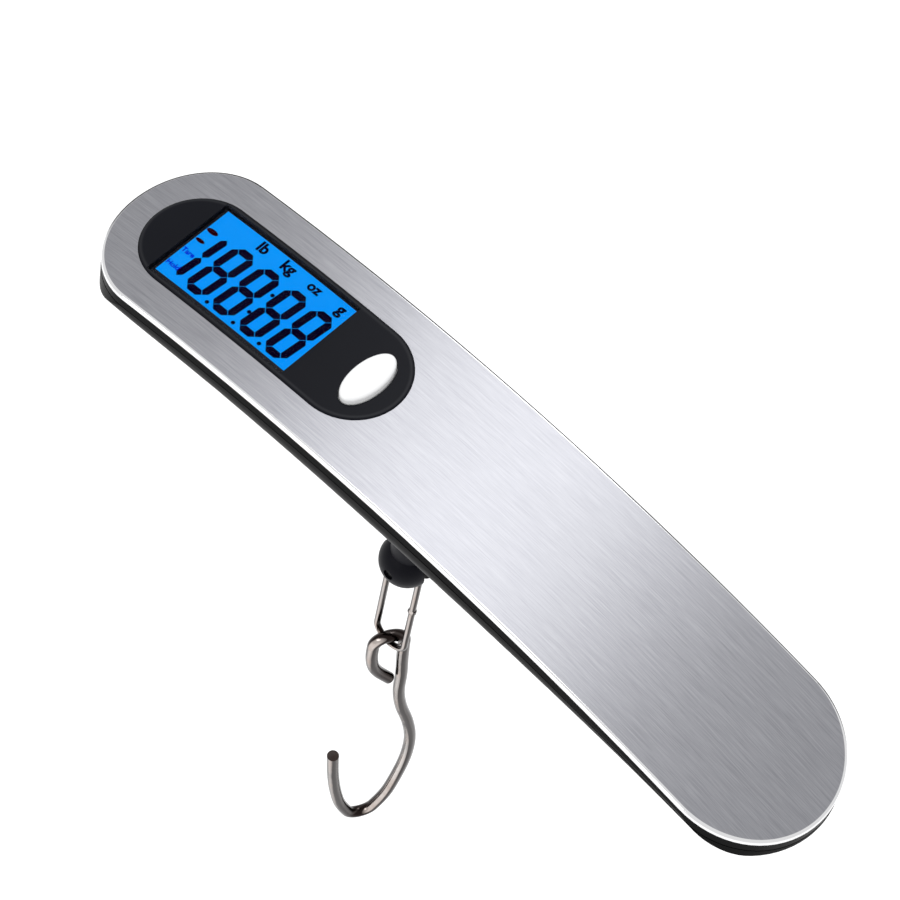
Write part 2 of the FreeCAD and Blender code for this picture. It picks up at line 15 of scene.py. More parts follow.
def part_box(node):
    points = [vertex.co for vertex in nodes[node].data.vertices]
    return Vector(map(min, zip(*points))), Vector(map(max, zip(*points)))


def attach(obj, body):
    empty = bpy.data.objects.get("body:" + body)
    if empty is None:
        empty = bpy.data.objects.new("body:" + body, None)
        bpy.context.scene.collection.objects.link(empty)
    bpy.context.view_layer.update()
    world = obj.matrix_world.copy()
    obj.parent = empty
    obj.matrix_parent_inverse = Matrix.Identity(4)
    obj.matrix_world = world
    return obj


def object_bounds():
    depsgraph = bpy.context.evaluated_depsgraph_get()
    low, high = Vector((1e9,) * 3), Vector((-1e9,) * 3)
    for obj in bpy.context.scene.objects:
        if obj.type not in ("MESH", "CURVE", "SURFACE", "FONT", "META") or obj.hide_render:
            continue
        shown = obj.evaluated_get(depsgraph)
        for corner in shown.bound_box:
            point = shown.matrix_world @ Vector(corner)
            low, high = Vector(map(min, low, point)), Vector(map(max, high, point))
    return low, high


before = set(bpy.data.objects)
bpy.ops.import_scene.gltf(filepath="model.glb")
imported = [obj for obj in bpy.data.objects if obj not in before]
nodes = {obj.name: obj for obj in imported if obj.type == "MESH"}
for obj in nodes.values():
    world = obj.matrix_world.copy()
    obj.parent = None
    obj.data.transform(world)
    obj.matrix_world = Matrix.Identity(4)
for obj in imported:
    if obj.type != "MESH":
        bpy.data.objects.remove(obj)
cad_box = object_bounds()
MM = 0.001

# %% [markdown]
# ## Sizes the looks depend on
# The plate is part of a cylinder that lies across the case, so its radius follows from the length
# and from how far the ends drop. Everything printed on the display is drawn flat first and then
# wrapped on that arch, at a depth below the plate's surface, like a label on a drum.

# %% The arch
plate_low, plate_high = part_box("face_plate")
HALF_LENGTH = plate_high.x
HALF_WIDTH = plate_high.y
ARCH_SAG = 7.6 * MM
ARCH_RADIUS = (HALF_LENGTH ** 2 + ARCH_SAG ** 2) / (2 * ARCH_SAG)
NOSE_LENGTH = 12.6 * MM
TAIL_LENGTH = 14.7 * MM
WINDOW_X = -40.4 * MM


def wrap(mesh_edit):
    """Bends a flat drawing, with X measured from the window's middle, down onto the arch."""
    start = math.asin(WINDOW_X / ARCH_RADIUS)
    for vert in mesh_edit.verts:
        angle = start + vert.co.x / ARCH_RADIUS
        radius = ARCH_RADIUS + vert.co.z
        vert.co.x = radius * math.sin(angle)
        vert.co.z = radius * math.cos(angle) - ARCH_RADIUS


print("arch radius", round(ARCH_RADIUS / MM, 1), "mm")

# %% [markdown]
# ## Arithmetic on shader sockets
# Procedural finishes are formulas: a streak here, a mask there, one minus the other. Writing them
# as nodes one by one hides the formula, so a small class wraps a socket and lets Python's own
# operators add the Math nodes.

# %% A socket that can be calculated with
class Field:
    """A number that changes over the surface."""

    def __init__(self, finish, socket):
        self.finish = finish
        self.socket = socket

    def math(self, operation, *others):
        return self.finish.node("ShaderNodeMath", {"operation": operation}, [self, *others])

    def __add__(self, other):
        return self.math("ADD", other)

    def __sub__(self, other):
        return self.math("SUBTRACT", other)

    def __rsub__(self, other):
        return self.finish.node("ShaderNodeMath", {"operation": "SUBTRACT"}, [other, self])

    def __mul__(self, other):
        return self.math("MULTIPLY", other)

    def __truediv__(self, other):
        return self.math("DIVIDE", other)

    def __rtruediv__(self, other):
        return self.finish.node("ShaderNodeMath", {"operation": "DIVIDE"}, [other, self])

    def clamp(self):
        return self.finish.node("ShaderNodeClamp", {}, [self])

    def above(self, edge, soft):
        """0 below edge, 1 above it, with a ramp soft wide."""
        return ((self - edge) / soft + 0.5).clamp()

    def absolute(self):
        return self.math("ABSOLUTE")

    def root(self):
        return self.math("SQRT")

    def largest(self, other):
        return self.math("MAXIMUM", other)

    __radd__ = __add__
    __rmul__ = __mul__


# %% [markdown]
# ## One finish, one material
# Every finish is a Principled surface. Numbers that are the same all over are set on its own
# sockets, and only what changes over the surface is linked.

# %% A material and its nodes
class Finish:
    """A material under construction."""

    def __init__(self, name):
        self.material = bpy.data.materials.new(name)
        self.material.use_nodes = True
        self.tree = self.material.node_tree
        self.tree.nodes.clear()
        self.output = self.tree.nodes.new("ShaderNodeOutputMaterial")

    def plug(self, socket, value):
        if isinstance(value, Field):
            self.tree.links.new(value.socket, socket)
        elif isinstance(value, tuple) and socket.type == "RGBA":
            socket.default_value = (*value[:3], 1.0)
        else:
            socket.default_value = value

    def node(self, kind, settings, inputs, output=0):
        made = self.tree.nodes.new(kind)
        for key, value in settings.items():
            setattr(made, key, value)
        pairs = inputs.items() if isinstance(inputs, dict) else enumerate(inputs)
        for key, value in pairs:
            self.plug(made.inputs[key], value)
        return Field(self, made.outputs[output])

    def place(self):
        return self.node("ShaderNodeTexCoord", {}, [], "Object")

    def stretched(self, scale):
        """Object coordinates, scaled along each axis."""
        return self.node("ShaderNodeMapping", {}, {"Vector": self.place(), "Scale": scale})

    def axes(self, vector):
        split = self.tree.nodes.new("ShaderNodeSeparateXYZ")
        self.plug(split.inputs[0], vector)
        return [Field(self, socket) for socket in split.outputs]

    def noise(self, vector, scale, detail, roughness):
        values = {"Vector": vector, "Scale": scale, "Detail": detail, "Roughness": roughness}
        return self.node("ShaderNodeTexNoise", {}, values)

    def facing(self):
        """The three parts of the surface's own normal."""
        return self.axes(self.node("ShaderNodeTexCoord", {}, [], "Normal"))

    def blend(self, factor, first, second):
        """A colour that goes from first to second."""
        values = {"Factor": factor, 6: first, 7: second}
        return self.node("ShaderNodeMix", {"data_type": "RGBA"}, values, 2)

    def bump(self, height, strength, distance):
        values = {"Strength": strength, "Distance": distance, "Height": height}
        return self.node("ShaderNodeBump", {}, values)

    def surface(self, **values):
        """The Principled surface, its sockets named in lower case with underscores."""
        shader = self.tree.nodes.new("ShaderNodeBsdfPrincipled")
        names = {socket.name.lower().replace(" ", "_"): socket for socket in shader.inputs}
        for key, value in values.items():
            self.plug(names[key], value)
        self.tree.links.new(shader.outputs[0], self.output.inputs[0])
        return self.material


def dress(material, *names):
    """Gives CAD nodes a finish."""
    for name in names:
        data = nodes[name].data
        data.materials.clear()
        data.materials.append(material)
    print("dressed", ", ".join(names), "in", material.name)


# %% [markdown]
# ## Brushed steel plate
# The plate is drawn over an abrasive belt along its length, so its grain is a bundle of long thin
# scratches. Two stretched noises give fine and coarse streaks; they move the roughness and a
# shallow bump, and tint the metal only a little. The rim is cut after brushing and polished, and its
# colour is a painted highlight, near white: a mask measures how close a point is to the plate's
# outline. Where the cut turns to the far left side its colour is a painted reflection of a dark
# room, so it is painted dark there.

# %% Brushed steel
BEVEL = 0.45 * MM
BEVEL_BLUR = 0.06 * MM
STREAK_DEPTH = 0.010 * MM


def outline_distance(finish):
    """Distance from the middle line of the plan shape, equal to the half width on its outline."""
    x, y, z = finish.axes(finish.place())
    tail = (x - (HALF_LENGTH - TAIL_LENGTH)).largest(0.0) * (HALF_WIDTH / TAIL_LENGTH)
    nose = ((NOSE_LENGTH - HALF_LENGTH) - x).largest(0.0) * (HALF_WIDTH / NOSE_LENGTH)
    along = tail + nose
    return (along * along + y * y).root()


def brushed_plate():
    finish = Finish("brushed_plate")
    fine = finish.noise(finish.stretched((170.0, 7000.0, 0.0)), 1.0, 3.0, 0.7)
    coarse = finish.noise(finish.stretched((60.0, 2200.0, 0.0)), 1.0, 2.0, 0.5)
    cloud = finish.noise(finish.stretched((18.0, 45.0, 0.0)), 1.0, 2.0, 0.5)
    streak = fine * 0.75 + coarse * 0.25
    rim = outline_distance(finish).above(HALF_WIDTH - BEVEL * 1.05, BEVEL_BLUR)
    across, aside, up = finish.facing()
    # mask of the cut's far left side, where the painted reflection is painted dark
    painted_shade_side = (aside * 0.84 - across * 0.54).above(0.16, 0.12)
    contrast = ((streak - 0.5) * 3.2 + 0.5).clamp()
    grain = finish.blend(contrast, (0.22, 0.22, 0.24), (0.425, 0.425, 0.45))
    tone = finish.blend(cloud, (0.305, 0.31, 0.335), (0.335, 0.34, 0.37))
    soft = finish.blend(0.55, tone, grain)
    # painted light: near white on the cut is a painted highlight, near black on its far left side is
    # a painted reflection
    cut_painted_light = finish.blend(painted_shade_side, (0.90, 0.90, 0.91), (0.035, 0.035, 0.04))
    colour = finish.blend(rim, soft, cut_painted_light)
    rough = (0.31 + (streak - 0.5) * 0.16) * (1 - rim) + rim * 0.14
    bump = finish.bump(streak * (1 - rim), 0.30, STREAK_DEPTH)
    return finish.surface(base_color=colour, metallic=1.0, roughness=rough, normal=bump)


plate_finish = brushed_plate()
dress(plate_finish, "face_plate")

# %% [markdown]
# ## Black plastics
# The case is polished black plastic, the window a finer satin black, and the hanger ball a moulded
# part with a dull skin. They share one recipe: a very dark base, a slow cloud in the roughness where
# hands have been, and a fine moulding texture as a bump. The lower housing gets a paler colour only
# on faces that point down: painted light, which lifts its underside out of the dark.

# %% Black plastic recipe
SKIN_DEPTH = 0.01 * MM


def black_plastic(name, colour, roughness, skin, specular, below=None):
    """Black plastic; below is a paler colour painted on faces that point down, as painted light."""
    finish = Finish(name)
    cloud = finish.noise(finish.stretched((1, 1, 1)), 55.0, 3.0, 0.6)
    pores = finish.noise(finish.stretched((1, 1, 1)), 5200.0, 2.0, 0.5)
    lighter = tuple(min(1.0, c * 1.7 + 0.002) for c in colour)
    shade = finish.blend(cloud, colour, lighter)
    # painted light: faces that point down get the paler colour, standing in for light on the
    # underside
    if below:
        shade = finish.blend((finish.facing()[2] * -1.0).above(0.80, 0.16), shade, below)
    rough = roughness + (cloud - 0.5) * 0.10
    bump = finish.bump(pores, skin, SKIN_DEPTH)
    return finish.surface(base_color=shade, roughness=rough, normal=bump, specular_ior_level=specular)


case_black = black_plastic("case_black", (0.0006, 0.0006, 0.0008), 0.26, 0.05, 0.012)
# the last colour is painted light on the faces that point down
under_black = black_plastic("under_black", (0.0006, 0.0006, 0.0008), 0.33, 0.12, 0.010,
                            below=(0.0070, 0.0070, 0.0078))
film_black = black_plastic("film_black", (0.0045, 0.0050, 0.0080), 0.34, 0.05, 0.08)
ball_black = black_plastic("ball_black", (0.0030, 0.0031, 0.0055), 0.42, 0.35, 0.08)
dress(case_black, "upper_housing")
dress(under_black, "lower_housing", "battery_door")
dress(ball_black, "hanger_ball")

# %% [markdown]
# ## Window frame
# The window is pressed from the same black, and its edge is rounded all round. The rounding is so
# small that its highlight is painted into the colour as a thin paler line just inside the outline.
# The line is found from the distance to the middle line of the oval.

# %% Window finish
WINDOW_LENGTH = 50.4 * MM
WINDOW_WIDTH = 18.2 * MM
EDGE_INSET = 0.55 * MM
EDGE_WIDTH = 0.35 * MM


def window_frame():
    finish = Finish("window_black")
    x, y, z = finish.axes(finish.place())
    straight = (WINDOW_LENGTH - WINDOW_WIDTH) / 2
    along = ((x - WINDOW_X).absolute() - straight).largest(0.0)
    inside = WINDOW_WIDTH / 2 - (along * along + y * y).root()
    line = (1 - ((inside - EDGE_INSET) / EDGE_WIDTH).absolute()).clamp()
    cloud = finish.noise(finish.stretched((1, 1, 1)), 55.0, 3.0, 0.6)
    shade = finish.blend(cloud, (0.0045, 0.0050, 0.0080), (0.0080, 0.0088, 0.0130))
    # painted highlight: the paler line where the rounded edge would catch the light
    with_painted_highlight = finish.blend(line, shade, (0.022, 0.023, 0.027))
    rough = 0.34 + (cloud - 0.5) * 0.10
    return finish.surface(base_color=with_painted_highlight, roughness=rough, specular_ior_level=0.08)


dress(window_frame(), "display_window")

# %% [markdown]
# ## Lit display
# The display's back light is even and saturated blue, with slow unevenness. It is an emission with
# a faint cell pattern, so that it doesn't read as a flat card. The clear lens over it is a thin
# coat of reflection over see-through plastic.

# %% Display and lens finishes
LCD_X = -4.4 * MM
LCD_LENGTH = 27.1 * MM
LCD_WIDTH = 15.2 * MM


def lit_display():
    finish = Finish("lit_display")
    cloud = finish.noise(finish.stretched((1, 1, 1)), 90.0, 1.0, 0.5)
    cells = finish.noise(finish.stretched((1, 1, 1)), 4200.0, 1.0, 0.5)
    glow = (cloud * 0.6 + cells * 0.4).clamp()
    colour = finish.blend(glow, (0.0, 0.250, 0.92), (0.003, 0.335, 1.0))
    return finish.surface(base_color=(0.0, 0.01, 0.03), roughness=0.5, emission_color=colour,
                          emission_strength=0.95, specular_ior_level=0.0)


def clear_lens():
    finish = Finish("clear_lens")
    through = finish.tree.nodes.new("ShaderNodeBsdfTransparent")
    gloss = finish.tree.nodes.new("ShaderNodeBsdfGlossy")
    gloss.inputs["Roughness"].default_value = 0.12
    smear = finish.noise(finish.stretched((1, 1, 1)), 160.0, 2.0, 0.6)
    top = finish.facing()[2].above(0.90, 0.05)
    factor = finish.node("ShaderNodeFresnel", {}, {"IOR": 1.30}) * (0.06 + smear * 0.12) * top
    mixed = finish.tree.nodes.new("ShaderNodeMixShader")
    finish.plug(mixed.inputs[0], factor)
    finish.tree.links.new(through.outputs[0], mixed.inputs[1])
    finish.tree.links.new(gloss.outputs[0], mixed.inputs[2])
    finish.tree.links.new(mixed.outputs[0], finish.output.inputs[0])
    return finish.material


display_light = lit_display()
dress(film_black, "lcd_glass")
dress(clear_lens(), "display_lens")

# %% [markdown]
# ## Ink of the display
# Liquid crystal segments look almost black against the light, with a touch of dark red, and the
# small words are printed in a deep blue. Both are thin plates a hair above the glass.

# %% Segment inks
def ink(name, dark, light):
    finish = Finish(name)
    blotch = finish.noise(finish.stretched((1, 1, 1)), 2600.0, 2.0, 0.6)
    shade = finish.blend(blotch, dark, light)
    return finish.surface(base_color=shade, roughness=0.5, specular_ior_level=0.0,
                          emission_color=shade, emission_strength=0.4)


black_ink = ink("black_ink", (0.0, 0.0, 0.002), (0.0015, 0.0, 0.010))
blue_ink = ink("blue_ink", (0.0, 0.0, 0.34), (0.0, 0.01, 0.55))
red_ink = ink("red_ink", (0.004, 0.0, 0.001), (0.020, 0.0, 0.001))
print("mixed three inks")

# %% [markdown]
# ## Making a piece
# A new piece starts as a bmesh, gets its place in its mesh, and rides on the body that carries it.

# %% From bmesh to piece
FILM_DEPTH = 0.60 * MM
PICTURE_SHIFT = 0.30 * MM
INK_THICKNESS = 0.03 * MM


def finish_piece(name, mesh_edit, material, body, smooth=False):
    """Turns a bmesh into an object at the origin that rides on a body."""
    data = bpy.data.meshes.new(name)
    mesh_edit.to_mesh(data)
    mesh_edit.free()
    for polygon in data.polygons:
        polygon.use_smooth = smooth
    data.materials.append(material)
    piece = bpy.data.objects.new(name, data)
    bpy.context.scene.collection.objects.link(piece)
    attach(piece, body)
    print("made", name, len(data.polygons), "faces")
    return piece


def raise_flat(mesh_edit, thickness):
    """Gives flat faces a thickness upwards."""
    grown = bmesh.ops.extrude_face_region(mesh_edit, geom=mesh_edit.faces[:])
    lifted = [item for item in grown["geom"] if isinstance(item, bmesh.types.BMVert)]
    bmesh.ops.translate(mesh_edit, verts=lifted, vec=(0, 0, thickness))


def onto_glass(mesh_edit):
    """Moves a drawing from the display's lower left corner onto the film under the lens."""
    low = (LCD_X - LCD_LENGTH / 2, PICTURE_SHIFT - LCD_WIDTH / 2, -FILM_DEPTH)
    bmesh.ops.translate(mesh_edit, verts=mesh_edit.verts[:], vec=low)
    wrap(mesh_edit)


# %% [markdown]
# ## Front film of the display
# A film lies right under the lens and follows its curve: a black border, printed a little off the
# middle, around the lit picture. Two thin sheets do, one for the border and one, slightly higher,
# for the light. They are cut into strips across so that they can bend.

# %% Film and picture
FILM_STEP = 0.02 * MM
FILM_LENGTH = 27.6 * MM
FILM_WIDTH = 16.5 * MM
FILM_STRIPS = 24


def curved_sheet(name, length, width, middle, depth, material):
    """A thin sheet on the arch, with its top face at a depth."""
    sheet = bmesh.new()
    bmesh.ops.create_grid(sheet, x_segments=FILM_STRIPS, y_segments=1, size=0.5)
    bmesh.ops.scale(sheet, verts=sheet.verts[:], vec=(length, width, 1))
    raise_flat(sheet, FILM_STEP)
    bmesh.ops.translate(sheet, verts=sheet.verts[:], vec=(*middle, -depth - FILM_STEP))
    wrap(sheet)
    return finish_piece(name, sheet, material, "case")


curved_sheet("display_film", FILM_LENGTH, FILM_WIDTH, (LCD_X + 0.1 * MM, 0),
             FILM_DEPTH + FILM_STEP, film_black)
curved_sheet("display_picture", LCD_LENGTH, LCD_WIDTH, (LCD_X, PICTURE_SHIFT),
             FILM_DEPTH, display_light)

# %% [markdown]
# ## Seven-segment digits
# One bar is a flat strip with pointed ends: a hexagon whose two halves are pulled apart. Seven of
# them make a figure eight, and a shear leans the whole row. The display shows every segment at
# once, as it does for a moment when it is switched on.

# %% Segments
DIGIT_HEIGHT = 11.2 * MM
DIGIT_WIDTH = 4.4 * MM
BAR = 1.3 * MM
BAR_GAP = 0.06 * MM
HEXAGON_HALF = math.sin(math.radians(60))
DIGIT_LEAN = 0.085
DIGIT_BASE = 0.55 * MM
DIGIT_PLACES = (5.55 * MM, 11.05 * MM, 16.7 * MM, 22.1 * MM)
ONE_PLACE = 3.15 * MM


def bar(mesh_edit, centre, length, upright):
    """A strip with pointed ends, along X or along Y."""
    stretch = length / 2 - BAR_GAP - BAR
    verts = bmesh.ops.create_circle(mesh_edit, cap_ends=True, segments=6, radius=1.0)["verts"]
    bmesh.ops.scale(mesh_edit, verts=verts, vec=(BAR / 2 / HEXAGON_HALF, BAR, 1))
    for side in (-1, 1):
        end = [vert for vert in verts if vert.co.y * side > 0]
        bmesh.ops.translate(mesh_edit, verts=end, vec=(0, side * stretch, 0))
    if not upright:
        quarter = Matrix.Rotation(math.radians(90), 3, "Z")
        bmesh.ops.rotate(mesh_edit, verts=verts, cent=(0, 0, 0), matrix=quarter)
    bmesh.ops.translate(mesh_edit, verts=verts, vec=(*centre, 0))


def digit(mesh_edit, left, segments="abcdefg"):
    right = left + DIGIT_WIDTH - BAR
    middle = left + (DIGIT_WIDTH - BAR) / 2
    half = (DIGIT_HEIGHT - BAR) / 2
    wide = DIGIT_WIDTH - BAR
    spots = {
        "a": ((middle, half * 2), wide, False),
        "b": ((right, half * 1.5), half, True),
        "c": ((right, half * 0.5), half, True),
        "d": ((middle, 0.0), wide, False),
        "e": ((left, half * 0.5), half, True),
        "f": ((left, half * 1.5), half, True),
        "g": ((middle, half), wide, False),
    }
    for name in segments:
        place, length, upright = spots[name]
        bar(mesh_edit, place, length, upright)


def lean(mesh_edit):
    shear = Matrix.Identity(4)
    shear[0][1] = DIGIT_LEAN
    shift = Matrix.Translation((0, DIGIT_BASE + BAR / 2, 0))
    bmesh.ops.transform(mesh_edit, matrix=shift @ shear, verts=mesh_edit.verts[:])


digits = bmesh.new()
for left in DIGIT_PLACES:
    digit(digits, left)
digit(digits, ONE_PLACE - DIGIT_WIDTH + BAR, "bc")
lean(digits)
raise_flat(digits, INK_THICKNESS)
onto_glass(digits)
finish_piece("display_digits", digits, black_ink, "case")

# %% [markdown]
# ## Points
# A colon's two dots and three decimal points are small discs between the digits.

# %% Colon and decimal points
DOT_RADIUS = 0.34 * MM
DOTS = ((16.25 * MM, 8.45 * MM), (15.95 * MM, 3.9 * MM), (10.15 * MM, 0.85 * MM),
        (15.65 * MM, 0.85 * MM), (21.1 * MM, 0.85 * MM))

dots = bmesh.new()
for x, y in DOTS:
    disc = bmesh.ops.create_circle(dots, cap_ends=True, segments=20, radius=DOT_RADIUS)
    bmesh.ops.translate(dots, verts=disc["verts"], vec=(x, y, 0))
raise_flat(dots, INK_THICKNESS)
onto_glass(dots)
finish_piece("display_points", dots, black_ink, "case")

# %% [markdown]
# ## Small marks
# Two short bars at the left edge flag a low battery. Each is a disc drawn out into an oval.

# %% Battery marks
def pill(mesh_edit, centre, length, width):
    """A short bar with a rounded outline."""
    disc = bmesh.ops.create_circle(mesh_edit, cap_ends=True, segments=24, radius=0.5)
    bmesh.ops.scale(mesh_edit, verts=disc["verts"], vec=(length, width, 1))
    bmesh.ops.translate(mesh_edit, verts=disc["verts"], vec=(*centre, 0))


marks = bmesh.new()
pill(marks, (1.15 * MM, 10.75 * MM), 2.2 * MM, 0.95 * MM)
pill(marks, (1.0 * MM, 8.3 * MM), 1.75 * MM, 0.7 * MM)
raise_flat(marks, INK_THICKNESS)
onto_glass(marks)
finish_piece("display_marks", marks, red_ink, "case")

# %% [markdown]
# ## Words
# Lettering starts as a text object, which knows the outlines of the letters. It is turned into a
# mesh and its doubled points are merged. Making the strokes bolder can fold a sliver over its
# neighbour, so those go. Only then is the word raised, placed and bent onto the film.

# %% Words on the display
def drop_folds(mesh_edit):
    """Deletes the slivers folded over a neighbour, where a thickened outline crosses itself."""
    folds = True
    while folds:
        pairs = [edge for edge in mesh_edit.edges if len(edge.link_faces) == 2]
        folds = [edge.link_faces for edge in pairs if not edge.is_contiguous]
        slivers = {min(faces, key=lambda face: face.calc_area()) for faces in folds}
        bmesh.ops.delete(mesh_edit, geom=list(slivers), context="FACES")


def word(name, text, centre, height, material, weight):
    """A word as a thin mesh, centred on a point of the display."""
    curve = bpy.data.curves.new(name, "FONT")
    curve.body = text
    curve.size = height
    curve.offset = weight
    curve.align_x = "CENTER"
    curve.align_y = "CENTER"
    curve.resolution_u = 4
    source = bpy.data.objects.new(name + "_text", curve)
    bpy.context.scene.collection.objects.link(source)
    bpy.context.view_layer.update()
    graph = bpy.context.evaluated_depsgraph_get()
    data = bpy.data.meshes.new_from_object(source.evaluated_get(graph))
    bpy.data.objects.remove(source)
    letters = bmesh.new()
    letters.from_mesh(data)
    bpy.data.meshes.remove(data)
    bmesh.ops.remove_doubles(letters, verts=letters.verts[:], dist=0.001 * MM)
    drop_folds(letters)
    bmesh.ops.translate(letters, verts=letters.verts[:], vec=(*centre, 0))
    raise_flat(letters, INK_THICKNESS)
    onto_glass(letters)
    return finish_piece(name, letters, material, "case")


UNIT_Y = 13.75 * MM
word("word_lb", "lb", (9.0 * MM, UNIT_Y), 2.7 * MM, black_ink, 0.10 * MM)
word("word_kg", "kg", (14.3 * MM, UNIT_Y), 2.7 * MM, black_ink, 0.10 * MM)
word("word_oz", "oz", (19.8 * MM, UNIT_Y), 2.4 * MM, black_ink, 0.09 * MM)
word("word_g", "g", (25.4 * MM, UNIT_Y), 2.8 * MM, black_ink, 0.10 * MM)
word("word_tare", "Tare", (1.35 * MM, 5.5 * MM), 1.3 * MM, blue_ink, 0.04 * MM)
word("word_hold", "Hold", (1.40 * MM, 2.3 * MM), 1.3 * MM, blue_ink, 0.04 * MM)

# %% [markdown]
# ## White button
# The button is a bright moulded oval with a pearl coat. Its colour drifts a little from a cold to
# a warm white, so that the dome reads in soft light. It also glows faintly in its own colour, a
# painted light that makes it brighter than the lamps do.

# %% Button finish
def pearl_painted_glow():
    finish = Finish("button_pearl")
    cloud = finish.noise(finish.stretched((1, 1, 1)), 260.0, 3.0, 0.6)
    specks = finish.noise(finish.stretched((1, 1, 1)), 7000.0, 1.0, 0.5)
    shade = finish.blend(cloud, (0.90, 0.91, 0.93), (0.98, 0.98, 0.97))
    rough = 0.24 + specks * 0.08
    # the emission is painted light: the button glows a little though it is no lamp
    return finish.surface(base_color=shade, roughness=rough, coat_weight=0.4, coat_roughness=0.08,
                          emission_color=shade, emission_strength=0.10)


dress(pearl_painted_glow(), "button_cap")

# %% [markdown]
# ## Plated wire
# Link and hook are bent from round wire and nickel plated. Drawing the wire leaves faint lines
# along it, and the plating is warmer where it is thin, so a slow noise mixes a grey and a brownish
# metal. A thin wire mirrors the whole room in a few dark and bright bands, and here those bands are
# a painted reflection, laid by the way the surface turns: the metal is painted near black, bright
# where it faces a window on each side and a little paler where it faces a wall, because a plain
# white studio has nothing dark to mirror.

# %% Nickel wire finish
def nickel_wire():
    finish = Finish("nickel_wire")
    warm = finish.noise(finish.stretched((1, 1, 1)), 210.0, 3.0, 0.6)
    lines = finish.noise(finish.stretched((2600.0, 2600.0, 60.0)), 1.0, 2.0, 0.5)
    x, y, z = finish.facing()
    turn = x * 0.20 - y * 0.90 + z * 0.38 + (warm - 0.5) * 0.16
    # painted reflection: bright bands where the surface faces a window on either side, and a faint
    # band for a wall
    painted_window_glint = turn.above(0.87, 0.12).largest((turn * -1.0).above(0.72, 0.14))
    painted_wall_glint = turn.above(0.20, 0.12) * (1 - turn.above(0.42, 0.12)) * 0.07
    plating_and_painted_glint = finish.blend(((warm - 0.5) * 2.4 + 0.5).clamp(), (0.72, 0.69, 0.67), (0.42, 0.34, 0.30))
    # painted reflection: near black outside the bands, the plating colour in them
    shade = finish.blend(painted_window_glint.largest(painted_wall_glint), (0.020, 0.014, 0.013), plating_and_painted_glint)
    rough = 0.14 + lines * 0.10
    bump = finish.bump(lines, 0.15, SKIN_DEPTH)
    return finish.surface(base_color=shade, metallic=1.0, roughness=rough, normal=bump)


wire_finish = nickel_wire()
dress(wire_finish, "link", "hook")

# %% [markdown]
# ## Weld on the link
# The link is one bent wire whose ends meet halfway down a leg. The butt joint is welded and left
# as it comes: a small lump, a little thicker than the wire. It is a drawn out sphere whose points
# are pushed in and out by a fixed wave, because a perfect oval would look turned, not welded.

# %% Weld bead
LINK_WIRE = 0.55 * MM
WELD_LENGTH = 2.0 * MM
WELD_SWELL = 1.28


def weld_bead():
    link_low, link_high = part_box("link")
    bead = bmesh.new()
    bmesh.ops.create_uvsphere(bead, u_segments=28, v_segments=20, radius=1.0)
    for vert in bead.verts:
        wave = 1 + 0.07 * math.sin(7 * vert.co.z + 5 * vert.co.x) + 0.05 * math.sin(9 * vert.co.y)
        vert.co.x *= wave
        vert.co.y *= wave
    girth = LINK_WIRE * WELD_SWELL
    bmesh.ops.scale(bead, verts=bead.verts[:], vec=(girth, girth, WELD_LENGTH / 2))
    middle = (link_low.z + link_high.z) / 2
    bmesh.ops.translate(bead, verts=bead.verts[:], vec=(link_high.x - LINK_WIRE, 0, middle))
    return finish_piece("link_weld", bead, wire_finish, "link", smooth=True)


weld_bead()

# %% [markdown]
# ## Inner parts
# Nothing inside shows until the case is opened, but every part still gets the metal, board or
# rubber it is made of, from three short recipes.

# %% Metal, moulded and board finishes
def plain_metal(name, colour, roughness):
    finish = Finish(name)
    turned = finish.noise(finish.stretched((900.0, 900.0, 5200.0)), 1.0, 2.0, 0.5)
    shade = finish.blend(turned, tuple(c * 0.82 for c in colour), colour)
    rough = roughness + (turned - 0.5) * 0.14
    bump = finish.bump(turned, 0.2, SKIN_DEPTH)
    return finish.surface(base_color=shade, metallic=1.0, roughness=rough, normal=bump)


def moulded(name, colour, roughness):
    finish = Finish(name)
    cloud = finish.noise(finish.stretched((1, 1, 1)), 700.0, 3.0, 0.6)
    shade = finish.blend(cloud, tuple(c * 0.8 for c in colour), colour)
    rough = roughness + (cloud - 0.5) * 0.12
    bump = finish.bump(cloud, 0.15, 0.02 * MM)
    return finish.surface(base_color=shade, roughness=rough, normal=bump)


def board_mask():
    finish = Finish("board_mask")
    place = finish.stretched((1, 1, 1))
    cells = finish.node("ShaderNodeTexVoronoi", {"distance": "MANHATTAN"},
                        {"Vector": place, "Scale": 420.0})
    tracks = cells.above(0.42, 0.06)
    weave = finish.noise(place, 2400.0, 2.0, 0.5)
    shade = finish.blend(tracks, (0.010, 0.085, 0.030), (0.022, 0.16, 0.058))
    rough = 0.3 + weave * 0.15
    bump = finish.bump(tracks, 0.3, 0.03 * MM)
    return finish.surface(base_color=shade, roughness=rough, normal=bump)


zinc = plain_metal("zinc_steel", (0.60, 0.60, 0.61), 0.30)
dress(zinc, "housing_screws", "load_cell_screws", "hanger_washer", "hanger_nut", "hanger_stud",
      "battery_contact_neg", "battery_contact_pos")
dress(plain_metal("black_pin", (0.012, 0.012, 0.014), 0.40), "hanger_pin")
dress(plain_metal("coin_can", (0.72, 0.72, 0.71), 0.25), "coin_cell")
dress(plain_metal("cell_alloy", (0.74, 0.75, 0.77), 0.34), "load_cell")
dress(plain_metal("turned_brass", (0.78, 0.56, 0.24), 0.24), "neck_bushing")
dress(moulded("grey_rubber", (0.06, 0.06, 0.065), 0.7), "zebra_strip", "door_seal")
dress(moulded("resin", (0.02, 0.02, 0.022), 0.45), "chip_blob", "board_parts", "button_switch")
dress(moulded("light_guide", (0.84, 0.87, 0.90), 0.35), "backlight_panel")
dress(moulded("amber_film", (0.55, 0.27, 0.06), 0.35), "strain_gauges")
dress(moulded("red_sleeve", (0.42, 0.03, 0.03), 0.5), "gauge_leads")
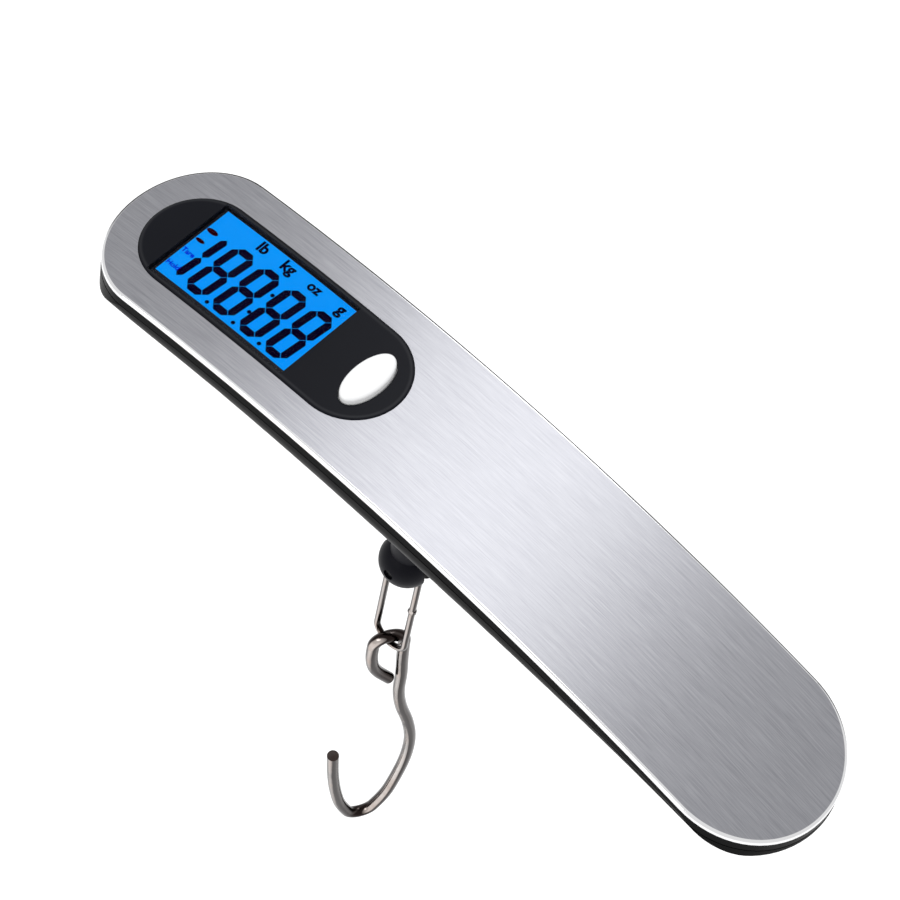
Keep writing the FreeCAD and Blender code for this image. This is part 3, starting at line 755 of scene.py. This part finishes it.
dress(board_mask(), "circuit_board")

# %% [markdown]
# ## Floor and light
# The floor is a pale sheet well below the hook. A broad soft box hangs where the arched plate
# mirrors it in its middle, so the steel is bright there and falls off to grey at both ends; a low
# fill keeps the black case from merging with itself.

# %% Stage
FLOOR_DROP = 160.0 * MM
FLOOR_SIZE = 4.0


def stage_floor():
    finish = Finish("floor_paper")
    cloud = finish.noise(finish.stretched((1, 1, 1)), 3.0, 2.0, 0.5)
    shade = finish.blend(cloud, (0.90, 0.90, 0.90), (0.92, 0.92, 0.92))
    material = finish.surface(base_color=shade, roughness=0.9, specular_ior_level=0.1,
                              emission_color=(1.0, 1.0, 1.0), emission_strength=0.32)
    sheet = bmesh.new()
    bmesh.ops.create_grid(sheet, x_segments=1, y_segments=1, size=FLOOR_SIZE / 2)
    bmesh.ops.translate(sheet, verts=sheet.verts[:], vec=(0, 0, cad_box[0].z - FLOOR_DROP))
    data = bpy.data.meshes.new("floor")
    sheet.to_mesh(data)
    sheet.free()
    data.materials.append(material)
    floor = bpy.data.objects.new("floor", data)
    bpy.context.scene.collection.objects.link(floor)


def soft_box(name, toward, distance, size, power):
    """An area light out along toward, facing the case."""
    light = bpy.data.lights.new(name, "AREA")
    light.shape = "RECTANGLE"
    light.size, light.size_y = size
    light.energy = power
    lamp = bpy.data.objects.new(name, light)
    direction = Vector(toward).normalized()
    lamp.location = direction * distance
    lamp.rotation_euler = direction.to_track_quat("Z", "Y").to_euler()
    bpy.context.scene.collection.objects.link(lamp)
    print("hung", name, "at", power, "W")


def white_room(level):
    """Even white light from all round."""
    world = bpy.data.worlds.new("studio")
    world.use_nodes = True
    background = world.node_tree.nodes["Background"]
    background.inputs["Color"].default_value = (1.0, 1.0, 1.0, 1.0)
    background.inputs["Strength"].default_value = level
    bpy.context.scene.world = world
    bpy.context.scene.view_settings.view_transform = "Standard"


stage_floor()
soft_box("plate_light", (-0.24, 0.43, 0.87), 0.9, (0.34, 0.60), 1.65)
soft_box("rim_light", (-0.25, -0.87, 0.42), 1.0, (0.9, 0.25), 1.6)
white_room(0.80)

# %% [markdown]
# ## Camera
# A long lens looks down on the plate from the near right, and is rolled so that the case runs from
# the upper left to the lower right.

# %% Camera
CAMERA_AZIMUTH = 32.7
CAMERA_ELEVATION = 59.6
CAMERA_ROLL = 13.1
CAMERA_DISTANCE = 552.2 * MM
CAMERA_LENS = 152.7
CAMERA_TARGET = (-4.85 * MM, 0.28 * MM, -0.1 * MM)


def aim_camera():
    azimuth = math.radians(CAMERA_AZIMUTH)
    elevation = math.radians(CAMERA_ELEVATION)
    back = Vector((math.sin(azimuth) * math.cos(elevation),
                   -math.cos(azimuth) * math.cos(elevation), math.sin(elevation)))
    camera = bpy.data.objects.new("camera", bpy.data.cameras.new("camera"))
    camera.data.lens = CAMERA_LENS
    camera.data.sensor_width = 36.0
    camera.data.clip_start = 0.01
    camera.location = Vector(CAMERA_TARGET) + back * CAMERA_DISTANCE
    level = (-back).to_track_quat("-Z", "Y")
    roll = Matrix.Rotation(math.radians(CAMERA_ROLL), 4, "Z").to_quaternion()
    camera.rotation_euler = (level @ roll).to_euler()
    bpy.context.scene.collection.objects.link(camera)
    bpy.context.scene.camera = camera
    print("camera at", [round(value / MM) for value in camera.location], "mm")


aim_camera()
